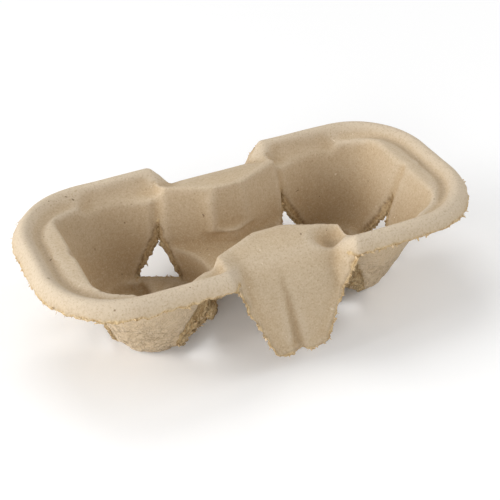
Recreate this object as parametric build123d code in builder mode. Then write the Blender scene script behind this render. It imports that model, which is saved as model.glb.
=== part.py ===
from build123d import *
import os
from math import atan, cos, hypot, radians, sin, tan

# Overall sizes, millimetres
length = 215.0
width = 104.6
height = 54.0
corner_radius = 40.0
wall = 2.4

# Rim, groove and deck, measured inward from the lip plane and up from the floor
lip_height = 47.0
trim_inset = 8.0
skirt_height = 42.0
roll_inset = 1.2
roll_height = 49.6
crest_inset = 6.2
slope_inset = 9.4
slope_height = 52.1
groove_inset = 12.2
groove_height = 50.3
bank_inset = 15.4
bank_height = 51.0
deck_inset = 19.0
core_inset = 26.0
deck_height = 51.5

# Saddle between the notches, and the flaps that hang from it
notch_top = 60.0
notch_bottom = 42.0
saddle_radius = 28.0
flap_lean = 12.0
flap_top_width = 59.0
flap_foot_width = 25.6
flap_foot_height = 7.0
flap_corner = 9.0
crease_offset = 0.8
crease_slant = -0.17
crease_radius = 4.0
crease_depth = 3.0
crease_length = 44.0

# Shelf scooped out of the rim at each notch
shelf_radius = 9.0
shelf_offset = 35.0
shelf_height = 54.4
shelf_start = 37.0
shelf_length = 26.0

# Cup pockets
pocket_spacing = 96.0
base_radius = 24.5
top_radius = 40.8
mouth_shift = 9.0
end_reach = 37.0
end_draft = 18.0
end_round = 14.0
foot_floor = 2.4
foot_round = 6.0
floor_height = 8.0
foot_count = 3
foot_offset = 15.5
foot_radius = 10.5
foot_slope = 16.0

# Slots in the pocket walls
slot_turn = 116.0
slot_width = 24.0
slot_foot = 4.0
slot_apex = 25.0
slot_round = 1.5
slot_start = 21.0
slot_length = 27.0

# Waist between the pockets
waist_draft = 12.0
waist_ledge_width = 32.0
waist_ledge_height = 30.0
waist_floor_width = 22.0
waist_floor_height = 22.0
neck_length = 18.0
neck_flare = 24.0
neck_overlap = 0.5
flare_reach = 36.0

# Spare length that cutters have beyond what they cut
spare = 10.0

half_pitch = pocket_spacing / 2
pocket_slope = atan((top_radius - base_radius) / (deck_height - foot_floor))
lean = radians(flap_lean)

# Neck of the waist's lower channel, so that its flared sides run on from the upper channel's
side_rise = (waist_ledge_height - waist_floor_height) * tan(radians(waist_draft)) / cos(radians(neck_flare))
ledge_depth = (waist_ledge_width - waist_floor_width) / 2 - side_rise
floor_neck_length = neck_length - 2 * ledge_depth / tan(radians(neck_flare)) - neck_overlap


def inset(points, start, end, depth):
    """Points of a profile moved by depth to the left of its run."""
    moved = []
    for i, here in enumerate(points):
        before = points[max(i - 1, 0)]
        after = points[min(i + 1, len(points) - 1)]
        run = (after[0] - before[0], after[1] - before[1])
        if i == 0:
            run = start
        if i == len(points) - 1:
            run = end
        size = hypot(*run)
        moved.append((here[0] - depth * run[1] / size, here[1] + depth * run[0] / size))
    return moved


def rim_skin(depth):
    """Rim profile from the skirt over the crest and the groove to the deck, with its end runs."""
    edge = width / 2
    points = [
        (edge, skirt_height),
        (edge - roll_inset, roll_height),
        (edge - crest_inset, height),
        (edge - slope_inset, slope_height),
        (edge - groove_inset, groove_height),
        (edge - bank_inset, bank_height),
        (edge - deck_inset, deck_height),
    ]
    start = (0, 1)
    end = (-1, 0)
    return inset(points, start, end, depth), start, end


def saddle_skin(depth):
    """Saddle profile, one round from the flap up to the deck, with its end runs."""
    centre = width / 2 - saddle_radius * cos(lean)
    centre_height = deck_height - saddle_radius
    steps = len(rim_skin(0)[0]) - 1
    angles = [lean + (radians(90) - lean) * i / steps for i in range(steps + 1)]
    points = [
        (centre + saddle_radius * cos(a), centre_height + saddle_radius * sin(a)) for a in angles
    ]
    start = (-sin(lean), cos(lean))
    end = (-1, 0)
    return inset(points, start, end, depth), start, end


def cross_section(skin, x, base):
    """Whole section across the tray at x, filled down to base."""
    points, start, end = skin
    drop = points[0][1] - base
    foot = (points[0][0] - drop * start[0] / start[1], base)
    with BuildSketch(Plane.YZ.offset(x)) as section:
        with BuildLine():
            Line((0, base), foot)
            Line(foot, points[0])
            Spline(*points, tangents=(start, end))
            Line(points[-1], (0, points[-1][1]))
            mirror(about=Plane.YZ)
        make_face()
    return section.sketch


def middle(depth, base):
    """Saddle body between the rim ends, with the ramps of the four notches."""
    with BuildPart() as body:
        for x, skin in (
            (-notch_top / 2, rim_skin(depth)),
            (-notch_bottom / 2, saddle_skin(depth)),
            (notch_bottom / 2, saddle_skin(depth)),
            (notch_top / 2, rim_skin(depth)),
        ):
            add(cross_section(skin, x, base))
        loft(ruled=True)
    return body.part


def rim_end(depth, base):
    """Rim, groove and deck round the +X end of the tray."""
    points, start, end = rim_skin(depth)
    inner = width / 2 - corner_radius + spare
    with BuildPart() as body:
        with BuildLine() as path:
            Line((notch_top / 2, width / 2), (length / 2 - corner_radius, width / 2))
            turn = CenterArc(
                (length / 2 - corner_radius, width / 2 - corner_radius), corner_radius, 90, -90
            )
            Line(turn @ 1, (length / 2, 0))
            mirror(about=Plane.XZ)
        with BuildSketch(Plane.YZ.offset(notch_top / 2)):
            with BuildLine():
                Line((points[0][0], base), points[0])
                Spline(*points, tangents=(start, end))
                Line(points[-1], (inner, points[-1][1]))
                Line((inner, points[-1][1]), (inner, base))
                Line((inner, base), (points[0][0], base))
            make_face()
        sweep(path=path.line)
    return body.part


def raised_floor(depth):
    """Floor of the +X pocket between its three round feet, solid down past the feet."""
    rise = floor_height + spare
    foot_draft = tan(radians(foot_slope))
    top = foot_radius + depth / cos(radians(foot_slope))
    with BuildPart() as floor:
        with Locations((half_pitch, 0, -depth - spare)):
            Cylinder(top_radius + spare, rise, align=(Align.CENTER, Align.CENTER, Align.MIN))
            with PolarLocations(foot_offset, foot_count, 180 / foot_count):
                Cone(
                    top - rise * foot_draft,
                    top + rise * foot_draft,
                    2 * rise,
                    align=(Align.CENTER, Align.CENTER, Align.MIN),
                    mode=Mode.SUBTRACT,
                )
    return floor.part


def mouth_centre(z):
    """Distance of the leaning pocket's centre from the middle of the tray at height z."""
    return half_pitch + mouth_shift * (z - foot_floor) / (deck_height - foot_floor)


def mouth_radius(z):
    """Radius of the leaning pocket at height z."""
    return base_radius + (top_radius - base_radius) * (z - foot_floor) / (deck_height - foot_floor)


def pocket(depth):
    """Hollow of the +X cup pocket: a leaning cone with a flat outer end, less the raised floor."""
    foot = foot_floor - depth
    top = height + spare
    out = depth / cos(pocket_slope)
    end_out = depth / cos(radians(end_draft))
    end_top = half_pitch + end_reach + end_out + (top - deck_height) * tan(radians(end_draft))
    end_foot = end_top - (top - foot + spare) * tan(radians(end_draft))
    with BuildPart() as hollow:
        with BuildSketch(Plane.XY.offset(foot)):
            with Locations((mouth_centre(foot), 0)):
                Circle(mouth_radius(foot) + out)
        with BuildSketch(Plane.XY.offset(top)):
            with Locations((mouth_centre(top), 0)):
                Circle(mouth_radius(top) + out)
        loft(ruled=True)
        with BuildSketch(Plane.XZ.offset(-width / 2)):
            with BuildLine():
                Polyline(
                    (end_foot, foot - spare),
                    (length, foot - spare),
                    (length, top),
                    (end_top, top),
                    close=True,
                )
            make_face()
        extrude(amount=width, mode=Mode.SUBTRACT)
        sides = hollow.faces().filter_by(GeomType.PLANE).sort_by(Axis.X)[-1].edges()
        fillet(sides.filter_by(lambda e: abs(e.center().Y) > spare), end_round + depth)
        fillet(hollow.faces().sort_by(Axis.Z)[0].outer_wire().edges(), foot_round + depth)
        add(raised_floor(depth), mode=Mode.SUBTRACT)
    return hollow.part


def waist(depth, floor, floor_width, neck_width):
    """Channel between the pockets, floor_width wide at its floor, flared beyond its neck."""
    out = depth / cos(radians(waist_draft)) - depth * tan(radians(waist_draft))
    side = floor_width / 2 + out
    neck = neck_width / 2 - out * tan(radians(neck_flare / 2))
    flared = side + (flare_reach - neck) * tan(radians(neck_flare))
    with BuildPart() as channel:
        with BuildSketch(Plane.XY.offset(floor - depth)):
            with BuildLine():
                Polyline(
                    (0, side),
                    (neck, side),
                    (flare_reach, flared),
                    (flare_reach, -flared),
                    (neck, -side),
                    (0, -side),
                )
                mirror(about=Plane.YZ)
            make_face()
        extrude(amount=height + spare - floor, taper=-waist_draft)
    return channel.part


def hollows(depth):
    """Both cup pockets and the stepped waist that joins them."""
    with BuildPart() as cut:
        hollow = pocket(depth)
        add(hollow)
        add(mirror(hollow, about=Plane.YZ))
        add(waist(depth, waist_ledge_height, waist_ledge_width, neck_length))
        add(waist(depth, waist_floor_height, waist_floor_width, floor_neck_length))
    return cut.part


def shelf(depth):
    """Round-ended scoop along the inside of the rim, beside the +X +Y notch."""
    radius = shelf_radius + depth
    with BuildPart() as scoop:
        with Locations((shelf_start, shelf_offset, shelf_height)):
            Cylinder(radius, shelf_length, rotation=(0, 90, 0), align=(Align.CENTER, Align.CENTER, Align.MIN))
            Sphere(radius)
        with Locations((shelf_start + shelf_length, shelf_offset, shelf_height)):
            Sphere(radius)
    return scoop.part


def crease(depth):
    """Valley pressed into the front flap, deeper towards its foot."""
    lift = crease_radius - crease_depth
    reach = (deck_height - saddle_radius + saddle_radius * sin(lean)) * tan(lean) + lift / cos(lean)
    line = Plane(
        origin=(crease_offset, -width / 2 - reach, 0),
        x_dir=(1, 0, -crease_slant / cos(lean)),
        z_dir=(crease_slant, sin(lean), cos(lean)),
    )
    with BuildPart(line) as valley:
        Cone(
            crease_radius + depth,
            lift + depth,
            crease_length,
            align=(Align.CENTER, Align.CENTER, Align.MIN),
        )
    return valley.part


def form(depth, base):
    """Everything below the skin at depth under the upper face."""
    with BuildPart() as body:
        add(middle(depth, base))
        end = rim_end(depth, base)
        add(end)
        add(mirror(end, about=Plane.YZ))
        with BuildSketch(Plane.XY.offset(base)):
            RectangleRounded(length - 2 * core_inset, width - 2 * core_inset, corner_radius - core_inset)
        extrude(amount=deck_height - depth - base)
        add(hollows(depth), mode=Mode.SUBTRACT)
        scoop = shelf(depth)
        for part in (scoop, mirror(scoop, about=Plane.XZ)):
            add(part, mode=Mode.SUBTRACT)
            add(mirror(part, about=Plane.YZ), mode=Mode.SUBTRACT)
        valley = crease(depth)
        add(valley, mode=Mode.SUBTRACT)
        add(valley.rotate(Axis.Z, 180), mode=Mode.SUBTRACT)
    return body.part


def below_lip():
    """What is trimmed off under the lip, with the two flaps left standing."""
    with BuildPart() as trim:
        with BuildSketch(Plane.XY.offset(-spare)):
            Rectangle(length + 2 * spare, width + 4 * spare)
            RectangleRounded(
                length - 2 * trim_inset,
                width - 2 * trim_inset,
                corner_radius - trim_inset,
                mode=Mode.SUBTRACT,
            )
        extrude(amount=lip_height + spare)
        with BuildSketch(Plane.XZ.offset(-width)) as outline:
            with BuildLine():
                Polyline(
                    (flap_top_width / 2 + spare, lip_height + spare),
                    (flap_top_width / 2 + spare, lip_height),
                    (flap_top_width / 2, lip_height),
                    (flap_foot_width / 2, flap_foot_height),
                    (-flap_foot_width / 2, flap_foot_height),
                    (-flap_top_width / 2, lip_height),
                    (-flap_top_width / 2 - spare, lip_height),
                    (-flap_top_width / 2 - spare, lip_height + spare),
                    close=True,
                )
            make_face()
            fillet(outline.vertices().group_by(Axis.Y)[0], flap_corner)
        extrude(amount=2 * width, mode=Mode.SUBTRACT)
    return trim.part


def slots():
    """Pointed slots of the +X pocket, one at its outer end and one to each side."""
    with BuildPart() as cuts:
        with BuildSketch(Plane.YZ.offset(half_pitch + slot_start)) as gable:
            with BuildLine():
                Polyline(
                    (-slot_width / 2, slot_foot),
                    (slot_width / 2, slot_foot),
                    (0, slot_apex),
                    close=True,
                )
            make_face()
            fillet(gable.vertices().sort_by(Axis.Z)[-1], slot_round)
        cut = extrude(amount=slot_length, mode=Mode.PRIVATE)
        for turn in (-slot_turn, 0, slot_turn):
            add(cut.rotate(Axis((half_pitch, 0, 0), (0, 0, 1)), turn))
    return cuts.part


# The pressed skin, trimmed to its lip and flaps, with the slots cut out
with BuildPart() as cup_carrier:
    add(form(0, 0))
    add(form(wall, -spare), mode=Mode.SUBTRACT)
    add(below_lip(), mode=Mode.SUBTRACT)
    cuts = slots()
    add(cuts, mode=Mode.SUBTRACT)
    add(mirror(cuts, about=Plane.YZ), mode=Mode.SUBTRACT)
cup_carrier.part.label = "cup_carrier"

os.makedirs("parts", exist_ok=True)
export_step(cup_carrier.part, "parts/cup_carrier.step")
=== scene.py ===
import math
from collections import namedtuple
import bmesh
import bpy
import numpy as np
from mathutils import Matrix, Vector, noise


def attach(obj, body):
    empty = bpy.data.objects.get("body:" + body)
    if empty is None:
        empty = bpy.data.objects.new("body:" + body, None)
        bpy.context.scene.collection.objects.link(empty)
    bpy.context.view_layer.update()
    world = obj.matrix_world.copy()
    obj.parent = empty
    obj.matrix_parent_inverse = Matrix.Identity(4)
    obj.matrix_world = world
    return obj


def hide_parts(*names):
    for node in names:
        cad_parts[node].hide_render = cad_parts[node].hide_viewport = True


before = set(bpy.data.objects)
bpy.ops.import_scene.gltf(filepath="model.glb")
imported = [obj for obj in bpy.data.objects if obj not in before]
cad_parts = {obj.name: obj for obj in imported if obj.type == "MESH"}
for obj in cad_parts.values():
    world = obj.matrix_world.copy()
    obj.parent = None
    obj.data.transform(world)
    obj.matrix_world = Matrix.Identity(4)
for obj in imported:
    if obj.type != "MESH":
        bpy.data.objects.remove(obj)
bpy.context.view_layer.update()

MM = 0.001

# Lengths below are in millimetres, and a pair of numbers is where a change starts and where it ends
Layer = namedtuple("Layer", "height size seed")
Spot = namedtuple("Spot", "place reach")
Dent = namedtuple("Dent", "place reach rise push")
Speck = namedtuple("Speck", "scale size chosen colour")
Shred = namedtuple("Shred", "count length width depth")

# Even mesh of the pulp, and how it is rounded
VOXEL = 1.22
FINE_FROM = 0.3
ROUNDING_PASSES = 7
SOFT_PASSES = 36
EVEN_PASSES = 2
SILL_PASSES = 8
PASS_IN = 0.5
PASS_OUT = -0.505
SEED_SHIFT = np.array((7.3, 3.1, 5.7))

# Outline of the rim seen from above, and its trimmed, frayed lip
RIM_LENGTH = 215.0
RIM_WIDTH = 104.6
RIM_CORNER = 40.0
LIP_HEIGHT = 47.0
LIP_THICKNESS = 5.0
LIP_CUT = (LIP_HEIGHT + 2.0, LIP_HEIGHT + 0.8)
LIP_REACH = (LIP_HEIGHT + 4.5, LIP_HEIGHT)
LIP_WANDER = 0.6
LIP_HANG = 0.4
LIP_HANG_LAYERS = (Layer(height=0.9, size=3.2, seed=10), Layer(height=0.7, size=9.0, seed=11))
LIP_FLARE = 0.35
LIP_FLARE_LAYER = Layer(height=0.8, size=2.6, seed=12)
LIP_UPWARD = 0.6

# Outline of the flaps, as half widths, and their torn edges
FLAP_TOP = 29.5
FLAP_FOOT = 12.8
FLAP_FOOT_HEIGHT = 7.0
FLAP_CORNER = 9.0
FLAP_OUT = 40.0
FLAP_SPARE = 2.0
FLAP_CUT = (1.8, 0.5)
FLAP_REACH = (6.0, 0.0)
FLAP_WANDER = 1.2
FLAP_BAND = (1.6, 0.6)
FLAP_LINE = 1.5
FLAP_LINE_WIDTH = 0.4
BITE_LAYERS = (Layer(height=0.9, size=3.0, seed=13), Layer(height=1.3, size=9.0, seed=14))
BITE_MIDDLE = (2.0, 8.0)
NICK_LAYER = Layer(height=0.7, size=2.2, seed=15)
NICK_HEIGHTS = (20.0, 10.0)
CURL = 1.8
CURL_LAYER = Layer(height=0.8, size=6.0, seed=16)

# Slots of the pockets
POCKET_OFFSET = 48.0
SLOT_TURNS = (-116.0, 0.0, 116.0)
SLOT_START = 20.0
SLOT_END = 44.0
SLOT_WIDTH = 24.0
SLOT_FOOT = 4.0
SLOT_BELOW = 1.0
SLOT_APEX = 25.0
SLOT_REACH = (5.0, 0.0)
SLOT_BEND = 1.2
HOLE_EDGE = (1.0, 0.2)
HOLE_SWELL = 0.2
HOLE_CLOSE = 1.4
HOLE_RAGGED = 1.1
HOLE_FLANK = (0.3, 0.8)
RAGGED_LAYERS = (Layer(height=0.5, size=1.7, seed=7), Layer(height=0.5, size=4.0, seed=8))

# Wider tear round each slot inside, the split above it, and the dark line along it
TEAR_WIDTH = 25.2
TEAR_APEX = 34.5
TEAR_TOP = 35.0
TEAR_EDGE = (0.0, 0.8)
TEAR_DEPTH = 0.4
TEAR_WANDER = (Layer(height=0.9, size=4.5, seed=21), Layer(height=0.4, size=1.6, seed=22))
TEAR_TOP_WANDER = 2.0
TEAR_LINE_WIDTH = 0.5
TEAR_LINE_DEPTH = 0.4
TEAR_LINE_LAYER = Layer(height=1.0, size=6.0, seed=23)
TEAR_LINE_GAPS = (-0.8, 0.1)
STRAND_LAYER = Layer(height=1.0, size=(1.5, 1.5, 5.0), seed=9)
STRAND_DEPTH = 0.4
SPLIT_START = (SLOT_APEX - 2.0, SLOT_APEX)
SPLIT_END = (TEAR_TOP, TEAR_TOP - 3.0)
SPLIT_WIDTH = (1.3, 0.3)
SPLIT_DEPTH = 0.9

# Thinned arch round each slot outside, its bevel, and the sill that the slot stands on
ARCH_WIDTH = 27.0
ARCH_EDGE = (0.0, 1.0)
ARCH_DEPTH = 0.8
BEVEL_HEIGHTS = (SLOT_APEX, SLOT_APEX - 8.0)
BEVEL_MOST = 5.0
BEVEL_FROM = -0.6
BEVEL_SHARE = 0.8
BEVEL_RAGGED = 0.3
SILL_OUT = (12.0, 20.0)
SILL_ACROSS = (11.0, 8.0)
SILL_PAST = 3.0
SILL_RISE = 5.0
SILL_SHIFT = 3.0
SILL_SMOOTH = (0.0, 0.3)

# Which way a face of the skin looks: down, into its pocket, or out of it
FACING_DOWN = (0.2, -0.5)
FACING_IN = (0.1, -0.4)
FACING_OUT = (0.2, 0.6)

# Uneven pressing, the rough side that faced away from the mould, and wrinkles round the feet
PRESS_LAYERS = (Layer(height=0.3, size=42.0, seed=1), Layer(height=0.14, size=11.0, seed=2))
ROUGH_LAYERS = (Layer(height=0.2, size=5.0, seed=3), Layer(height=0.16, size=2.4, seed=4))
FOLD_LAYERS = (
    Layer(height=2.2, size=(8.0, 8.0, 3.0), seed=5),
    Layer(height=2.6, size=(4.0, 4.0, 7.0), seed=6),
)
FOLD_HEIGHTS = (42.0, 12.0)
FOLD_EDGE = (0.35, 1.0)
FOLD_DEPTH = 0.5

# Where the pressing is softest: the rear pads, the front scoops, and the right end
SOFT_PLACES = (
    Spot(place=(56.0, 35.0, 48.0), reach=(34.0, 12.0, 10.0)),
    Spot(place=(47.0, -34.0, 48.0), reach=(24.0, 11.0, 9.0)),
    Spot(place=(-56.0, 35.0, 48.0), reach=(34.0, 12.0, 10.0)),
    Spot(place=(-47.0, -34.0, 48.0), reach=(24.0, 11.0, 9.0)),
    Spot(place=(86.0, 8.0, 48.0), reach=(14.0, 36.0, 9.0)),
)
SOFT_FADE = (1.2, 0.7)

# Hollows and swells at the notches, with a push to the right
NOTCH_DENTS = (
    Dent(place=(25.0, -37.0), reach=(13.0, 15.0), rise=0.0, push=3.5),
    Dent(place=(22.5, -34.6), reach=(8.8, 7.4), rise=-6.4, push=0.0),
    Dent(place=(-40.0, -34.0), reach=(13.0, 10.0), rise=3.0, push=0.0),
    Dent(place=(-24.0, 37.0), reach=(9.0, 8.0), rise=-2.2, push=-2.0),
    Dent(place=(25.0, 37.0), reach=(9.0, 8.0), rise=-1.2, push=1.0),
)
NOTCH_HEIGHTS = (40.0, 44.0)
DENT_FADE = (1.0, 0.1)

# Rear pads, which slope down into the pockets
PAD_PLACES = ((-60.0, 33.0), (60.0, 33.0))
PAD_REACH = (34.0, 16.0)
PAD_FALL = 4.0
PAD_HEIGHTS = (18.0, 48.0)

# Groove round the rim
GROOVE_INSET = 12.2
GROOVE_WIDTH = 1.9
GROOVE_DEPTH = 0.7
GROOVE_ENDS = (52.0, 72.0)
GROOVE_ABOVE = 44.0

# Slanted crease down each flap, deeper towards the foot
CREASE_FOOT = 2.8
CREASE_SLANT = -0.2
CREASE_BEND = 38.0
CREASE_WIDTH = 1.7
CREASE_TOP = (50.0, 33.0)
CREASE_END = (4.0, 14.0)
CREASE_DEPTH = 0.7
CREASE_DEEPER = 0.5
CREASE_DEEPER_HEIGHTS = (40.0, 14.0)

# Waist between the pockets: a rib on each wall, and the wall under its ledge
WAIST_REACH = (20.0, 25.0)
WAIST_FACING = (-0.2, -0.6)
LEDGE_HEIGHT = 29.5
LEDGE_EDGE = (LEDGE_HEIGHT, LEDGE_HEIGHT - 1.5)
LEDGE_ENDS = (17.0, 9.0)
LEDGE_UNDERCUT = 1.1
RIB_OFFSET = 10.0
RIB_WIDTH = 2.9
RIB_HEIGHT = 1.2
RIB_START = (LEDGE_HEIGHT - 4.0, LEDGE_HEIGHT + 2.0)
RIB_END = (51.0, 44.0)

# Marks for the material: ridges lighter with wear and painted highlight, hollows darker with painted
# shade, torn and dark shares with painted shade in arches, creases and folds, painted light on the rim's
# top and painted shade on the deep walls
RELIEF_PASSES = 10
RELIEF_FULL = 0.4
SLOT_TORN = 0.6
SLOT_DARK = 0.14
# Shares of painted shade in the slot arches, flap creases and foot folds, and of the dark torn line
# along the flaps
ARCH_PAINTED_SHADE = 0.5
FLAP_DARK = 0.45
CREASE_PAINTED_SHADE = 0.35
FOLD_PAINTED_SHADE = 0.25
FOLD_PAINTED_SHADE_EDGE = (0.5, 1.0)
# Painted light on the rim's top: heights, facing and inset where it is lighter
TOP_LIGHT_HEIGHTS = (44.0, 52.0)
TOP_LIGHT_FACING = (0.0, 0.8)
TOP_LIGHT_INSET = (22.0, 12.0)
# Painted shade deep in the pockets: heights and sides where it is darker
DEEP_SHADE_HEIGHTS = (44.0, 18.0)
DEEP_SHADE_SIDES = (FLAP_OUT, FLAP_OUT - 6.0)

# Fibres and flakes that stand off the torn edges
SHRED_SEED = 11
SHRED_KINDS = (
    Shred(count=460, length=1.5, width=1.0, depth=0.3),
    Shred(count=240, length=1.9, width=0.2, depth=0.17),
)
LIP_SHREDS = 0.5
FLAP_SHREDS = 0.25
SLOT_SHREDS = 0.25
SHRED_FROM = 0.7
SHRED_LEAN = 0.6
SHRED_SPREAD = 0.6
SHRED_SIZES = (0.5, 1.3)
SHRED_RINGS = 4
SHRED_CORNERS = ((-1, -1), (1, -1), (1, 1), (-1, 1))
SHRED_ROOT = 0.2
SHRED_BEND = 0.3
SHRED_TAPER = 0.75

# Camera that matches the photograph
CAMERA_AZIMUTH = -25.74
CAMERA_ELEVATION = 35.92
CAMERA_DISTANCE = 540.5 * MM
CAMERA_TARGET = Vector((4.91, 6.85, 20.0)) * MM
CAMERA_LENS = 79.9
CAMERA_CLIP = 10 * MM

# Lamps and room, in metres, and where the floor turns plain white
FLOOR_SIZE = 12.0
FLOOR_NEAR = 0.14
FLOOR_FAR = 0.5
LAMP_DISTANCE = 1.1
LAMP_SIZE = 0.6
ROOM_LIGHT = 0.37


def linear(red, green, blue):
    """Colour for a shader socket from 8-bit screen values."""
    parts = []
    for value in (red, green, blue):
        share = value / 255
        if share <= 0.04045:
            parts.append(share / 12.92)
        else:
            parts.append(((share + 0.055) / 1.055) ** 2.4)
    return (*parts, 1.0)


# Colours of the fibre, of its torn edges and specks, of painted highlight, painted shade and painted
# bounce light, and of the room
PULP = linear(189, 168, 139)
PULP_LIGHT = linear(199, 181, 154)
PULP_DARK = linear(174, 150, 118)
GRAIN_LIGHT = linear(212, 195, 168)
GRAIN_DARK = linear(158, 133, 100)
# Rough underside's own tone, lightened as painted bounce light from the floor
OUTSIDE = linear(217, 194, 162)
# Painted highlight on the rim's top and on ridges
PAINTED_HIGHLIGHT = linear(212, 199, 180)
# Painted shade deep in the pockets and in hollows
PAINTED_SHADE = linear(172, 144, 106)
TORN_LIGHT = linear(213, 187, 143)
TORN_DARK = linear(158, 123, 72)
# Dark of cracks and torn lines, and painted shade in creases, folds and slot arches
CRACK_AND_SHADE_DARK = linear(100, 73, 38)
SPECK_DARK = linear(104, 80, 54)
SPECK_LIGHT = linear(228, 214, 190)
WHITE = (1.0, 1.0, 1.0, 1.0)
FLOOR_BOUNCE = (0.8, 0.8, 0.8, 1.0)

# Hairs and streaks of fibre, folds and specks in the material
HAIR_SCALE = 1900.0
HAIR_TURNS = (0.5, 1.6, 2.7)
HAIR_STRETCH = (1.0, 1.0, 0.14)
BEND_SHIFT = (0.01, 0.01, 0.01)
STREAK_STRETCH = (1.0, 1.0, 0.3)
FOLD_SCALE = 130.0
FOLD_STRETCHES = ((0.6, 0.6, 1.5), (1.7, 1.7, 0.5))
FOLD_THIN = 0.02
SPECKS = (
    Speck(scale=300.0, size=0.2, chosen=0.955, colour=SPECK_DARK),
    Speck(scale=420.0, size=0.22, chosen=0.975, colour=SPECK_LIGHT),
)
SPECK_STEP = 0.005
NO_TURN = (0.0, 0.0, 0.0)


class Nodes:
    """Short hand for building a node tree."""

    def __init__(self, tree):
        self.tree = tree
        self.tree.nodes.clear()

    def put(self, socket, source):
        """Links a socket to an output, or sets it to a value."""
        if hasattr(source, "is_output"):
            self.tree.links.new(source, socket)
        else:
            socket.default_value = source

    def add(self, kind, inputs=(), **settings):
        node = self.tree.nodes.new(kind)
        for name, value in settings.items():
            setattr(node, name, value)
        for socket, source in inputs:
            self.put(node.inputs[socket], source)
        return node

    def mix(self, factor, low, high):
        """Colour between low and high."""
        node = self.add("ShaderNodeMix", data_type="RGBA")
        for socket, source in ((0, factor), (6, low), (7, high)):
            self.put(node.inputs[socket], source)
        return node.outputs[2]

    def tint(self, colour, share, strength, tone):
        """Colour drawn towards a tone where the share is 1, by that strength."""
        return self.mix(self.math("MULTIPLY", share, strength), colour, tone)

    def span(self, value, low, high, new_low=0.0, new_high=1.0):
        """Value moved from one range to another, and held there."""
        limits = ((1, low), (2, high), (3, new_low), (4, new_high))
        return self.add("ShaderNodeMapRange", (("Value", value), *limits)).outputs[0]

    def math(self, operation, first, second=0.0):
        return self.add("ShaderNodeMath", ((0, first), (1, second)), operation=operation).outputs[0]

    def greatest(self, values):
        """Largest of several values."""
        most, *others = values
        for other in others:
            most = self.math("MAXIMUM", most, other)
        return most

    def noise(self, place, scale, detail=2.0, roughness=0.5):
        values = (("Vector", place), ("Scale", scale), ("Detail", detail), ("Roughness", roughness))
        return self.add("ShaderNodeTexNoise", values)

    def stretched(self, place, turn, scale):
        """Coordinates turned and scaled, for a texture that runs one way."""
        values = (("Vector", place), ("Rotation", turn), ("Scale", scale))
        return self.add("ShaderNodeMapping", values).outputs[0]

    def attribute(self, name):
        return self.add("ShaderNodeAttribute", attribute_name=name).outputs["Fac"]

    def finish(self, colour, roughness, specular, bump):
        """Matt surface of that colour, as the material's output."""
        inputs = (
            ("Base Color", colour),
            ("Roughness", roughness),
            ("Specular IOR Level", specular),
            ("Normal", bump.outputs[0]),
        )
        shader = self.add("ShaderNodeBsdfPrincipled", inputs)
        self.add("ShaderNodeOutputMaterial", (("Surface", shader.outputs[0]),))


def hair(n, place, turn):
    """Short hairs of fibre that lie in one direction."""
    lying = n.stretched(place, (turn, turn * 0.7, turn * 1.3), HAIR_STRETCH)
    return n.span(n.noise(lying, HAIR_SCALE).outputs[0], low=0.57, high=0.7)


def thin_fold(n, place, stretch):
    """Thin winding lines, along the middle level of a noise."""
    level = n.noise(n.stretched(place, NO_TURN, stretch), FOLD_SCALE).outputs[0]
    away = n.math("ABSOLUTE", n.math("SUBTRACT", level, 0.5))
    return n.span(away, low=FOLD_THIN, high=0.0)


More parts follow.
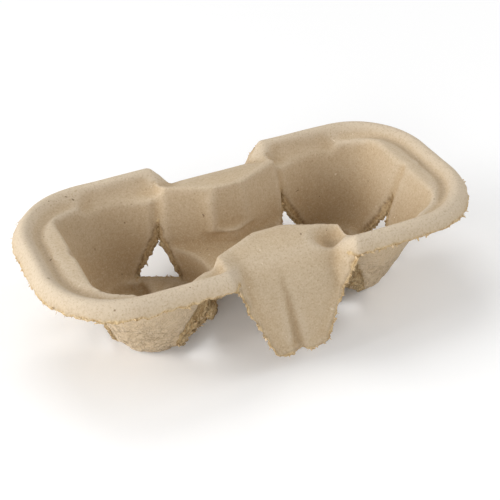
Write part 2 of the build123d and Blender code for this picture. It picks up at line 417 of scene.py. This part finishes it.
def pulp_material():
    """Pressed paper fibre: even tan, a fine grain, a few specks, torn and cracked where marked, with
    painted highlight, painted shade and painted bounce light where marked.
    """
    material = bpy.data.materials.new("moulded_pulp")
    material.use_nodes = True
    n = Nodes(material.node_tree)
    place = n.add("ShaderNodeTexCoord").outputs["Object"]
    torn = n.attribute("torn")
    crack_and_shade = n.attribute("crack_and_shade")
    rough = n.attribute("rough_side_bounce_lit")

    # Clouds of denser and thinner fibre, painted highlight on the rim's top and on ridges, painted shade
    # deep in the pockets and in hollows, the rough underside's tone lightened as painted bounce light,
    # and a fine grain
    broad = n.noise(place, scale=38.0, detail=3.0).outputs[0]
    floc = n.noise(place, scale=420.0, detail=4.0, roughness=0.6).outputs[0]
    grain = n.noise(place, scale=1150.0, detail=3.0, roughness=0.7).outputs[0]
    cloud = n.mix(n.span(broad, low=0.3, high=0.7, new_high=0.6), PULP, PULP_LIGHT)
    cloud = n.mix(n.span(floc, low=0.4, high=0.75, new_high=0.4), cloud, PULP_DARK)
    cloud = n.tint(cloud, n.attribute("painted_top_light"), strength=0.42, tone=PAINTED_HIGHLIGHT)
    cloud = n.tint(cloud, n.attribute("painted_deep_shade"), strength=0.6, tone=PAINTED_SHADE)
    cloud = n.tint(cloud, rough, strength=0.75, tone=OUTSIDE)
    cloud = n.tint(cloud, n.attribute("worn_ridge_highlight"), strength=0.22, tone=PAINTED_HIGHLIGHT)
    cloud = n.tint(cloud, n.attribute("hollow_painted_shade"), strength=0.38, tone=PAINTED_SHADE)
    cloud = n.mix(n.span(grain, low=0.52, high=0.72, new_high=0.6), cloud, GRAIN_DARK)
    cloud = n.mix(n.span(grain, low=0.48, high=0.28, new_high=0.5), cloud, GRAIN_LIGHT)

    # Fibres as short bent hairs that lie in several directions
    bend = n.noise(place, scale=160.0).outputs["Color"]
    shift = n.add("ShaderNodeVectorMath", ((0, bend), (1, BEND_SHIFT)), operation="MULTIPLY").outputs[0]
    bent = n.add("ShaderNodeVectorMath", ((0, place), (1, shift)), operation="ADD").outputs[0]
    fibre = n.greatest([hair(n, bent, turn) for turn in HAIR_TURNS])
    cloud = n.tint(cloud, fibre, strength=0.3, tone=PULP_LIGHT)

    # Specks of ink and bark, and of bleached paper
    for kind in SPECKS:
        cells = n.add("ShaderNodeTexVoronoi", (("Vector", bent), ("Scale", kind.scale)))
        inside = n.span(cells.outputs["Distance"], low=kind.size, high=kind.size * 0.5)
        pick = n.add("ShaderNodeSeparateColor", ((0, cells.outputs["Color"]),)).outputs[0]
        chosen = n.span(pick, low=kind.chosen, high=kind.chosen + SPECK_STEP)
        cloud = n.tint(cloud, n.math("MULTIPLY", inside, chosen), strength=0.7, tone=kind.colour)

    # Torn fibre, loose and streaky, and the dark of the cracks, which also holds painted shade in the
    # flap creases, foot folds and slot arches
    drawn = n.stretched(bent, NO_TURN, STREAK_STRETCH)
    streak = n.noise(drawn, scale=900.0, detail=3.0, roughness=0.65).outputs[0]
    loose = n.mix(n.span(streak, low=0.36, high=0.58), TORN_DARK, TORN_LIGHT)
    colour = n.tint(cloud, torn, strength=0.85, tone=loose)
    dark = n.math("MULTIPLY", crack_and_shade, n.span(streak, low=0.3, high=0.6, new_low=1.0, new_high=0.55))
    colour = n.tint(colour, dark, strength=0.85, tone=CRACK_AND_SHADE_DARK)

    # Thin folds in the wrinkled feet, darkened as painted shade along their lines
    line = n.greatest([thin_fold(n, bent, stretch) for stretch in FOLD_STRETCHES])
    line = n.math("MULTIPLY", line, n.attribute("wrinkled"))
    colour = n.tint(colour, line, strength=0.4, tone=CRACK_AND_SHADE_DARK)

    # Relief of grain and hairs everywhere, coarser on the outside and where it is torn
    relief = n.math("ADD", n.math("ADD", n.math("MULTIPLY", fibre, 0.5), grain), floc)
    relief = n.math("ADD", relief, n.math("MULTIPLY", torn, n.math("MULTIPLY", streak, 2.0)))
    relief = n.math("SUBTRACT", relief, n.math("MULTIPLY", line, 1.5))
    coarse = n.math("MAXIMUM", torn, rough)
    strength = n.span(coarse, low=0.0, high=1.0, new_low=0.3, new_high=0.75)
    bump = n.add("ShaderNodeBump", (("Height", relief), ("Strength", strength), ("Distance", 0.35 * MM)))
    roughness = n.span(floc, low=0.3, high=0.7, new_low=0.84, new_high=0.97)
    n.finish(colour, roughness, specular=0.2, bump=bump)
    return material


def fibre_material():
    """Loose fibre at the torn edges, lighter and yellower than the pressed face."""
    material = bpy.data.materials.new("torn_fibre")
    material.use_nodes = True
    n = Nodes(material.node_tree)
    place = n.add("ShaderNodeTexCoord").outputs["Object"]
    patch = n.noise(place, scale=240.0, detail=3.0).outputs[0]
    drawn = n.stretched(place, turn=(0.4, 0.9, 0.2), scale=(1.0, 1.0, 0.25))
    streak = n.noise(drawn, scale=2200.0, detail=3.0, roughness=0.65).outputs[0]
    colour = n.mix(n.span(patch, low=0.35, high=0.65), TORN_LIGHT, OUTSIDE)
    colour = n.mix(n.span(streak, low=0.5, high=0.72, new_high=0.6), colour, TORN_DARK)
    bump = n.add("ShaderNodeBump", (("Height", streak), ("Strength", 0.5), ("Distance", 0.1 * MM)))
    roughness = n.span(patch, low=0.3, high=0.7, new_low=0.88, new_high=0.98)
    n.finish(colour, roughness, specular=0.15, bump=bump)
    return material


def floor_material():
    """Matt paper, whiter to the camera than to the light it bounces, and plain white far off."""
    material = bpy.data.materials.new("white_floor")
    material.use_nodes = True
    n = Nodes(material.node_tree)
    seen = n.add("ShaderNodeLightPath").outputs["Is Camera Ray"]
    paper = n.add("ShaderNodeBsdfDiffuse", (("Color", n.mix(seen, FLOOR_BOUNCE, WHITE)),))
    glow = n.add("ShaderNodeEmission", (("Color", WHITE),))
    place = n.add("ShaderNodeTexCoord").outputs["Object"]
    away = n.add("ShaderNodeVectorMath", ((0, place),), operation="LENGTH").outputs["Value"]
    far = n.math("MULTIPLY", seen, n.span(away, FLOOR_NEAR, FLOOR_FAR))
    shader = n.add("ShaderNodeMixShader", ((0, far), (1, paper.outputs[0]), (2, glow.outputs[0])))
    n.add("ShaderNodeOutputMaterial", (("Surface", shader.outputs[0]),))
    return material


def step(value, start, end):
    """0 at start, 1 at end, smooth between them."""
    share = np.clip((value - start) / (end - start), 0.0, 1.0)
    return share * share * (3.0 - 2.0 * share)


def bell(distance, width):
    """1 where the distance is 0, falling off smoothly over the width."""
    return np.exp(-((distance / width) ** 2))


def lumps(points, *layers):
    """Sum of layers of smooth noise, each with lumps of its own height and size."""
    total = np.zeros(len(points))
    for layer in layers:
        places = points / np.asarray(layer.size) + layer.seed * SEED_SHIFT
        total += layer.height * np.array([noise.noise(place) for place in places.tolist()])
    return total


class Skin:
    """Vertices and edges of a mesh as arrays, in millimetres."""

    def __init__(self, mesh):
        self.mesh = mesh
        self.points = np.empty((len(mesh.vertices), 3))
        mesh.vertices.foreach_get("co", self.points.ravel())
        self.points /= MM
        self.edges = np.empty((len(mesh.edges), 2), dtype=np.int64)
        mesh.edges.foreach_get("vertices", self.edges.ravel())
        self.degree = np.bincount(self.edges.ravel(), minlength=len(self.points))

    def neighbours(self, values):
        """Mean of each vertex's neighbours."""
        total = np.zeros_like(values)
        for here, there in ((0, 1), (1, 0)):
            for axis in range(values.shape[1]):
                weights = values[self.edges[:, there], axis]
                total[:, axis] += np.bincount(self.edges[:, here], weights, len(values))
        return total / self.degree[:, None]

    def smooth(self, share, passes):
        """Rounds the surface where share is 1, without shrinking it."""
        for _ in range(passes):
            for pull in (PASS_IN, PASS_OUT):
                self.points += pull * share[:, None] * (self.neighbours(self.points) - self.points)

    def relief(self, passes):
        """How far each vertex stands out of the surface round it."""
        normals = self.normals()
        level = self.points
        for _ in range(passes):
            level = self.neighbours(level)
        return ((self.points - level) * normals).sum(axis=1)

    def write(self):
        self.mesh.vertices.foreach_set("co", (self.points * MM).ravel())
        self.mesh.update()

    def normals(self):
        self.write()
        values = np.empty((len(self.mesh.vertices), 3), dtype=np.float32)
        self.mesh.vertices.foreach_get("normal", values.ravel())
        return values.astype(float)

    def mark(self, name, values):
        """Stores one number a vertex for the material."""
        layer = self.mesh.attributes.new(name, "FLOAT", "POINT")
        layer.data.foreach_set("value", values.astype(np.float32))


def rim_inset(points):
    """How far each point lies inside the rim's outline, seen from above."""
    past = np.abs(points[:, :2]) - (np.array((RIM_LENGTH, RIM_WIDTH)) / 2 - RIM_CORNER)
    outside = np.hypot(*np.maximum(past, 0.0).T)
    return RIM_CORNER - outside - np.minimum(past.max(axis=1), 0.0)


def flap_inset(points):
    """How far each point lies inside the trimmed outline of a flap, seen from the front."""
    slope = math.atan2(FLAP_TOP - FLAP_FOOT, LIP_HEIGHT - FLAP_FOOT_HEIGHT)
    across = np.abs(points[:, 0])
    rise = points[:, 2] - FLAP_FOOT_HEIGHT
    side = (FLAP_FOOT + rise * math.tan(slope) - across) * math.cos(slope)
    away = across - FLAP_FOOT - FLAP_CORNER * (math.tan(slope) - 1 / math.cos(slope))
    below = FLAP_CORNER - rise
    in_corner = (away > 0) & (below * math.cos(slope) > away * math.sin(slope))
    return np.where(in_corner, FLAP_CORNER - np.hypot(away, below), np.minimum(side, rise))


class Slots:
    """Nearest slot of each point: how far out and aside the point is, and which way those are."""

    def __init__(self, points):
        turns = np.radians(SLOT_TURNS)
        mirrored = np.sign(points[:, 0])
        outward = np.abs(points[:, 0]) - POCKET_OFFSET
        along = outward[:, None] * np.cos(turns) + points[:, 1][:, None] * np.sin(turns)
        aside = points[:, 1][:, None] * np.cos(turns) - outward[:, None] * np.sin(turns)
        nearest = along.argmax(axis=1)
        rows = np.arange(len(points))
        self.along = along[rows, nearest]
        self.aside = aside[rows, nearest]
        cosine = np.cos(turns)[nearest]
        sine = np.sin(turns)[nearest]
        self.ahead = np.column_stack((mirrored * cosine, sine))
        self.beside = np.column_stack((-mirrored * sine, cosine)) * np.sign(self.aside)[:, None]


def gable(height, width, apex):
    """Half width at each height of a pointed opening that stands on the slots' foot."""
    return width / 2 * (apex - height) / (apex - SLOT_FOOT)


class Tears:
    """Where the pulp is trimmed or torn, as shares from 0 to 1."""

    def __init__(self, points):
        self.wander = lumps(points, *TEAR_WANDER)
        self.find_flaps_and_lip(points)
        self.find_slots(points)

    def find_flaps_and_lip(self, points):
        """Trimmed edges of the flaps and of the rim's lip."""
        height = points[:, 2]
        on_flap = (np.abs(points[:, 1]) > FLAP_OUT) & (height < LIP_HEIGHT)
        on_flap &= np.abs(points[:, 0]) < FLAP_TOP + FLAP_SPARE
        inset = np.where(on_flap, flap_inset(points), RIM_LENGTH)
        ragged = inset + FLAP_WANDER * self.wander
        self.flap = step(inset, *FLAP_CUT)
        self.flap_reach = step(inset, *FLAP_REACH)
        self.flap_band = step(ragged, *FLAP_BAND)
        self.flap_line = bell(ragged - FLAP_LINE, FLAP_LINE_WIDTH)
        on_lip = (rim_inset(points) < LIP_THICKNESS) & ~on_flap
        self.lip = on_lip * step(height + LIP_WANDER * self.wander, *LIP_CUT)
        self.lip_reach = on_lip * step(height, *LIP_REACH)

    def find_slots(self, points):
        """Holes, inner tears, splits, outer arches and sills of the slots."""
        height = points[:, 2]
        self.slots = Slots(points)
        along = self.slots.along
        across = np.abs(self.slots.aside)
        near = (along > SLOT_START) & (along < SLOT_END) & (height > SLOT_FOOT - SLOT_BELOW)

        inside = gable(height, TEAR_WIDTH, TEAR_APEX) - across
        inside = np.minimum(inside, TEAR_TOP - height + TEAR_TOP_WANDER * self.wander) + self.wander
        broken = step(lumps(points, TEAR_LINE_LAYER), *TEAR_LINE_GAPS)
        above = step(height, *SPLIT_START) * step(height, *SPLIT_END)
        self.slot = near * step(inside, *TEAR_EDGE)
        self.slot_edge = near * bell(inside, TEAR_LINE_WIDTH) * broken
        self.split = near * above * step(across, *SPLIT_WIDTH)

        from_hole = across - np.maximum(gable(height, SLOT_WIDTH, SLOT_APEX), 0.0)
        self.slot_reach = near * step(from_hole, *SLOT_REACH)
        self.hole = near * step(from_hole, *HOLE_EDGE) * (height < TEAR_TOP)

        rise = np.clip((height - SLOT_FOOT) / (TEAR_TOP - SLOT_FOOT), 0.0, 1.0)
        in_arch = ARCH_WIDTH / 2 * np.sqrt(1.0 - rise * rise) - across + self.wander
        in_bevel = near * step(height, *BEVEL_HEIGHTS) * (from_hole > BEVEL_FROM)
        self.arch = near * step(in_arch, *ARCH_EDGE)
        self.bevel = in_bevel * np.clip(in_arch, 0.0, BEVEL_MOST)

        low = (height > SLOT_FOOT) & (height < SLOT_FOOT + SILL_RISE)
        self.sill = step(along, *SILL_OUT) * step(across, *SILL_ACROSS)
        self.sill *= (along < SLOT_START + SILL_PAST) & low

    def cut(self):
        return np.maximum.reduce((self.flap, self.lip, self.hole))

    def fine(self):
        """Where the mesh needs small faces."""
        return np.maximum.reduce((self.flap_reach, self.lip_reach, self.slot)) > FINE_FROM


class Faces:
    """Points of the rounded skin, and which way each of them faces."""

    def __init__(self, skin):
        self.points = skin.points
        self.normals = skin.normals()
        self.height = self.points[:, 2]
        self.sides = np.sign(self.points)
        self.rough = step(self.normals[:, 2], *FACING_DOWN)
        middle = self.sides[:, 0] * POCKET_OFFSET
        away = np.column_stack((self.points[:, 0] - middle, self.points[:, 1]))
        self.from_axis = away / np.linalg.norm(away, axis=1)[:, None]
        facing = (self.normals[:, :2] * self.from_axis).sum(axis=1)
        self.inner = step(facing, *FACING_IN)
        self.outer = step(facing, *FACING_OUT)
        self.low = self.rough * step(self.height, *FOLD_HEIGHTS)

    def folds(self):
        """Share of the wrinkles round the feet."""
        levels = [np.abs(lumps(self.points, layer)) for layer in FOLD_LAYERS]
        return self.low * step(1.0 - np.minimum(*levels), *FOLD_EDGE)

    def creases(self):
        """Share of the crease down each flap."""
        line = CREASE_FOOT + CREASE_SLANT * np.minimum(self.height, CREASE_BEND)
        crease = bell(-self.sides[:, 1] * self.points[:, 0] - line, CREASE_WIDTH)
        return crease * (np.abs(self.points[:, 1]) > FLAP_OUT) * step(self.height, *CREASE_TOP)

    def near(self, place, reach):
        """Share of a dent round a place, seen from above."""
        return step(np.linalg.norm((self.points[:, :2] - place) / reach, axis=1), *DENT_FADE)


def even_copy(node, name):
    """Copy of a CAD node's solid as an even mesh."""
    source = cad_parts[node]
    copy = bpy.data.objects.new(name, source.data.copy())
    bpy.context.collection.objects.link(copy)
    copy.matrix_world = source.matrix_world
    remesh = copy.modifiers.new("even", "REMESH")
    remesh.mode = "VOXEL"
    remesh.voxel_size = VOXEL * MM
    graph = bpy.context.evaluated_depsgraph_get()
    mesh = bpy.data.meshes.new_from_object(copy.evaluated_get(graph))
    copy.modifiers.clear()
    copy.data = mesh
    return copy


def refine(mesh):
    """Splits the faces of the mesh along torn edges."""
    fine = Tears(Skin(mesh).points).fine()
    work = bmesh.new()
    work.from_mesh(mesh)
    edges = [edge for edge in work.edges if fine[edge.verts[0].index] and fine[edge.verts[1].index]]
    bmesh.ops.subdivide_edges(work, edges=edges, cuts=1, use_grid_fill=True)
    work.to_mesh(mesh)
    work.free()


def soften(skin, tears):
    """Rounds the skin everywhere but on the cuts, and most of all in the soft places."""
    pressed = 1.0 - tears.cut()
    soft = np.zeros(len(skin.points))
    for spot in SOFT_PLACES:
        away = np.linalg.norm((skin.points - spot.place) / spot.reach, axis=1)
        soft = np.maximum(soft, pressed * step(away, *SOFT_FADE))
    skin.smooth(pressed, ROUNDING_PASSES)
    skin.smooth(soft, SOFT_PASSES)
    skin.smooth(np.ones(len(skin.points)), EVEN_PASSES)


def pressing(faces):
    """Lift of the uneven skin: broad swells, a rough lower side and wrinkled feet."""
    lift = lumps(faces.points, *PRESS_LAYERS) + faces.rough * lumps(faces.points, *ROUGH_LAYERS)
    return lift - FOLD_DEPTH * faces.folds()


def torn_slots(faces, tears):
    """Moves round the slots: the top layer is gone, and the skin bends out and splits upwards."""
    ragged = lumps(faces.points, *RAGGED_LAYERS)
    strands = STRAND_DEPTH * lumps(faces.points, STRAND_LAYER)
    flank = np.abs((faces.normals[:, :2] * tears.slots.beside).sum(axis=1))
    inner = tears.slot * (TEAR_DEPTH + strands) + TEAR_LINE_DEPTH * tears.slot_edge
    inner += SPLIT_DEPTH * tears.split
    outer = tears.arch * (ARCH_DEPTH + strands)
    close = step(flank, *HOLE_FLANK) * (HOLE_CLOSE + HOLE_RAGGED * ragged)
    lift = tears.hole * (HOLE_SWELL + close) - faces.inner * inner - faces.outer * outer
    moves = faces.normals * lift[:, None]
    bevel = tears.bevel * faces.outer * (BEVEL_SHARE + BEVEL_RAGGED * ragged)
    moves[:, :2] += faces.from_axis * (SLOT_BEND * tears.slot_reach)[:, None]
    moves[:, :2] += tears.slots.beside * bevel[:, None]
    moves[:, :2] += tears.slots.ahead * (SILL_SHIFT * tears.sill)[:, None]
    return moves


def pressed_forms(faces):
    """Moves of the notches, the rear pads, the rim's groove and the flaps' creases."""
    moves = np.zeros_like(faces.points)
    for dent in NOTCH_DENTS:
        share = step(faces.height, *NOTCH_HEIGHTS) * faces.near(dent.place, dent.reach)
        moves[:, 0] += dent.push * share
        moves[:, 2] += dent.rise * share
    for place in PAD_PLACES:
        moves[:, 2] -= PAD_FALL * faces.near(place, PAD_REACH) * step(faces.height, *PAD_HEIGHTS)
    groove = bell(rim_inset(faces.points) - GROOVE_INSET, GROOVE_WIDTH)
    groove *= step(np.abs(faces.points[:, 0]), *GROOVE_ENDS) * (faces.height > GROOVE_ABOVE)
    moves[:, 2] -= GROOVE_DEPTH * groove
    depth = CREASE_DEPTH + CREASE_DEEPER * step(faces.height, *CREASE_DEEPER_HEIGHTS)
    depth *= step(faces.height, *CREASE_END)
    moves[:, 1] -= faces.sides[:, 1] * faces.creases() * depth
    return moves


def waist(faces):
    """Moves of the waist: a rib on each wall, and a ledge that stands over the wall below it."""
    moves = np.zeros_like(faces.points)
    inward = faces.sides[:, 1] * faces.normals[:, 1]
    wall = (np.abs(faces.points[:, :2]) < WAIST_REACH).all(axis=1) * step(inward, *WAIST_FACING)
    rib = bell(-faces.sides[:, 1] * faces.points[:, 0] - RIB_OFFSET, RIB_WIDTH)
    rib *= step(faces.height, *RIB_START) * step(faces.height, *RIB_END)
    under = step(faces.height, *LEDGE_EDGE) * step(np.abs(faces.points[:, 0]), *LEDGE_ENDS)
    moves[:, 1] = wall * faces.sides[:, 1] * (LEDGE_UNDERCUT * under - RIB_HEIGHT * rib)
    return moves


def frayed_edges(faces, tears):
    """Moves of the lip, which hangs and flares unevenly, and of the bitten, curled flap edges."""
    points = faces.points
    moves = np.zeros_like(points)
    outward = points[:, :2] / np.linalg.norm(points[:, :2], axis=1)[:, None]
    flare = tears.lip_reach * (LIP_FLARE + lumps(points, LIP_FLARE_LAYER))
    flare *= faces.normals[:, 2] < LIP_UPWARD
    bite = tears.flap_reach * lumps(points, *BITE_LAYERS) * step(np.abs(points[:, 0]), *BITE_MIDDLE)
    nick = tears.flap_reach * lumps(points, NICK_LAYER) * step(faces.height, *NICK_HEIGHTS)
    curl = tears.flap_reach**2 * (CURL + lumps(points, CURL_LAYER))
    moves[:, :2] += flare[:, None] * outward
    moves[:, 0] -= bite * faces.sides[:, 0]
    moves[:, 1] += curl * faces.sides[:, 1]
    moves[:, 2] += nick - tears.lip_reach * (LIP_HANG + lumps(points, *LIP_HANG_LAYERS))
    return moves


def mark_looks(skin, faces, tears):
    """Stores where the material is worn and lit by a painted highlight, torn, cracked or darkened by
    painted shade, wrinkled, rough and lightened by painted bounce light, lit on top by painted light, or
    darker in painted shade deep down.
    """
    relief = skin.relief(RELIEF_PASSES) / RELIEF_FULL
    thinned = tears.arch * faces.outer
    # Dark torn lines and splits, and painted shade in the slot arches, flap creases and foot folds
    lines = (
        tears.slot_edge * faces.inner,
        tears.split,
        ARCH_PAINTED_SHADE * thinned,
        SLOT_DARK * tears.slot * faces.inner,
        FLAP_DARK * tears.flap_line,
        CREASE_PAINTED_SHADE * faces.creases(),
        FOLD_PAINTED_SHADE * step(faces.folds(), *FOLD_PAINTED_SHADE_EDGE),
    )
    # Painted light on the rim's upward-facing top
    painted_top_light = step(faces.height, *TOP_LIGHT_HEIGHTS) * step(faces.normals[:, 2], *TOP_LIGHT_FACING)
    painted_top_light *= step(rim_inset(faces.points), *TOP_LIGHT_INSET)
    # Painted shade low in the pockets, away from the flaps
    painted_deep_shade = step(faces.height, *DEEP_SHADE_HEIGHTS) * step(np.abs(faces.points[:, 1]), *DEEP_SHADE_SIDES)
    # Ridges lighter as wear and painted highlight, hollows darker as painted shade
    skin.mark("worn_ridge_highlight", np.clip(relief, 0.0, 1.0))
    skin.mark("hollow_painted_shade", np.clip(-relief, 0.0, 1.0))
    skin.mark("torn", np.maximum.reduce((tears.cut(), tears.flap_band, SLOT_TORN * tears.slot, thinned)))
    skin.mark("crack_and_shade", np.maximum.reduce(lines))
    skin.mark("wrinkled", faces.low)
    # Downward-facing rough side: coarser grain, and a lighter tone as painted bounce light
    skin.mark("rough_side_bounce_lit", faces.rough)
    skin.mark("painted_top_light", painted_top_light)
    skin.mark("painted_deep_shade", painted_deep_shade * (1.0 - faces.rough))


def pulp_tray():
    """The tray with pressed, rounded edges, an uneven skin and torn rims."""
    tray = even_copy("cup_carrier", "pulp_tray")
    refine(tray.data)
    skin = Skin(tray.data)
    tears = Tears(skin.points)
    soften(skin, tears)
    faces = Faces(skin)
    skin.points = faces.points + faces.normals * pressing(faces)[:, None]
    skin.points += torn_slots(faces, tears) + frayed_edges(faces, tears)
    skin.points += pressed_forms(faces) + waist(faces)
    skin.smooth(step(tears.sill, *SILL_SMOOTH), SILL_PASSES)
    skin.points[:, 2] = np.maximum(skin.points[:, 2], 0.0)
    mark_looks(skin, faces, tears)
    skin.write()
    for polygon in tray.data.polygons:
        polygon.use_smooth = True
    tray.data.materials.clear()
    tray.data.materials.append(pulp_material())
    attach(tray, "root")
    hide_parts("cup_carrier")
    return skin, tears


def shred_corners(origin, along, across, length, width, depth):
    """Corners of one tapered, bent shred, ring by ring from its root to its tip."""
    thick = np.cross(along, across)
    corners = []
    for t in np.linspace(0.0, 1.0, SHRED_RINGS):
        middle = origin + along * length * (t - SHRED_ROOT) + thick * length * SHRED_BEND * t * t
        taper = 1.0 - SHRED_TAPER * t * t
        for right, over in SHRED_CORNERS:
            corners.append(middle + (across * width * right + thick * depth * over) * taper / 2)
    return corners


def shred_faces(first):
    """Faces of one shred whose corners start at that number: its root, its sides and its tip."""
    sides = len(SHRED_CORNERS)
    tip = first + sides * (SHRED_RINGS - 1)
    faces = [[first + k for k in reversed(range(sides))]]
    for ring in range(first, tip, sides):
        for k in range(sides):
            after = (k + 1) % sides
            faces.append([ring + k, ring + after, ring + sides + after, ring + sides + k])
    faces.append([tip + k for k in range(sides)])
    return faces


def torn_fibres(skin, tears):
    """Loose flakes and hairs along the lip, the flap edges and the slots."""
    draw = np.random.default_rng(SHRED_SEED)
    normals = skin.normals()
    corners = []
    faces = []
    for edge, share in ((tears.lip, LIP_SHREDS), (tears.flap, FLAP_SHREDS), (tears.hole, SLOT_SHREDS)):
        roots = np.flatnonzero(edge > SHRED_FROM)
        for kind in SHRED_KINDS:
            for root in draw.choice(roots, int(kind.count * share), replace=False):
                along = SHRED_LEAN * normals[root] + draw.normal(0.0, SHRED_SPREAD, 3)
                along /= np.linalg.norm(along)
                across = np.cross(along, draw.normal(0.0, 1.0, 3))
                across /= np.linalg.norm(across)
                size = draw.uniform(*SHRED_SIZES)
                length = kind.length * size
                width = kind.width * size
                faces += shred_faces(len(corners))
                corners += shred_corners(skin.points[root], along, across, length, width, kind.depth)
    corners = np.array(corners)
    corners[:, 2] = np.maximum(corners[:, 2], 0.0)
    mesh = bpy.data.meshes.new("torn_fibres")
    mesh.from_pydata((corners * MM).tolist(), [], faces)
    for polygon in mesh.polygons:
        polygon.use_smooth = True
    fibres = bpy.data.objects.new("torn_fibres", mesh)
    bpy.context.collection.objects.link(fibres)
    mesh.materials.append(fibre_material())
    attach(fibres, "root")


def floor():
    """Wide white table top."""
    bpy.ops.mesh.primitive_plane_add(size=FLOOR_SIZE, location=(0, 0, 0))
    plane = bpy.context.active_object
    plane.name = "floor"
    plane.data.materials.append(floor_material())


def camera_axes():
    """Backward and rightward directions of the photograph's camera."""
    azimuth = math.radians(CAMERA_AZIMUTH)
    elevation = math.radians(CAMERA_ELEVATION)
    level = Vector((math.sin(azimuth), -math.cos(azimuth), 0))
    back = level * math.cos(elevation) + Vector((0, 0, math.sin(elevation)))
    right = Vector((math.cos(azimuth), math.sin(azimuth), 0))
    return back, right


def camera():
    """Camera at the photograph's place."""
    back, right = camera_axes()
    up = back.cross(right)
    data = bpy.data.cameras.new("camera")
    data.lens = CAMERA_LENS
    data.sensor_fit = "HORIZONTAL"
    data.clip_start = CAMERA_CLIP
    view = bpy.data.objects.new("camera", data)
    turn = Matrix((right, up, back)).transposed().to_4x4()
    view.matrix_world = Matrix.Translation(CAMERA_TARGET + back * CAMERA_DISTANCE) @ turn
    bpy.context.collection.objects.link(view)
    bpy.context.scene.camera = view


def soft_box(name, turn, rise, power):
    """Square lamp aimed at the tray, turned rightward from the camera and raised, both in degrees."""
    back, right = camera_axes()
    level = Vector((back.x, back.y, 0)).normalized()
    turn = math.radians(turn)
    rise = math.radians(rise)
    away = (level * math.cos(turn) + right * math.sin(turn)) * math.cos(rise)
    away = (away + Vector((0, 0, math.sin(rise)))) * LAMP_DISTANCE
    data = bpy.data.lights.new(name, "AREA")
    data.size = LAMP_SIZE
    data.energy = power
    lamp = bpy.data.objects.new(name, data)
    lamp.location = away
    lamp.rotation_euler = away.to_track_quat("Z", "Y").to_euler()
    bpy.context.collection.objects.link(lamp)


def studio():
    """Low soft light from the left of the picture, weaker ones round the tray, and a white room."""
    soft_box("key", turn=-74, rise=21, power=8.8)
    soft_box("front", turn=-12, rise=20, power=4.7)
    soft_box("side", turn=100, rise=30, power=4.0)
    soft_box("top", turn=-150, rise=60, power=3.0)
    world = bpy.data.worlds.new("white_room")
    bpy.context.scene.world = world
    world.use_nodes = True
    n = Nodes(world.node_tree)
    path = n.add("ShaderNodeLightPath").outputs
    plain = n.greatest([path[f"Is {kind} Ray"] for kind in ("Camera", "Glossy", "Transmission")])
    strength = n.span(plain, low=0.0, high=1.0, new_low=ROOM_LIGHT, new_high=1.0)
    background = n.add("ShaderNodeBackground", (("Color", WHITE), ("Strength", strength)))
    n.add("ShaderNodeOutputWorld", (("Surface", background.outputs[0]),))


torn_fibres(*pulp_tray())
floor()
camera()
studio()
bpy.context.scene.view_settings.view_transform = "Standard"
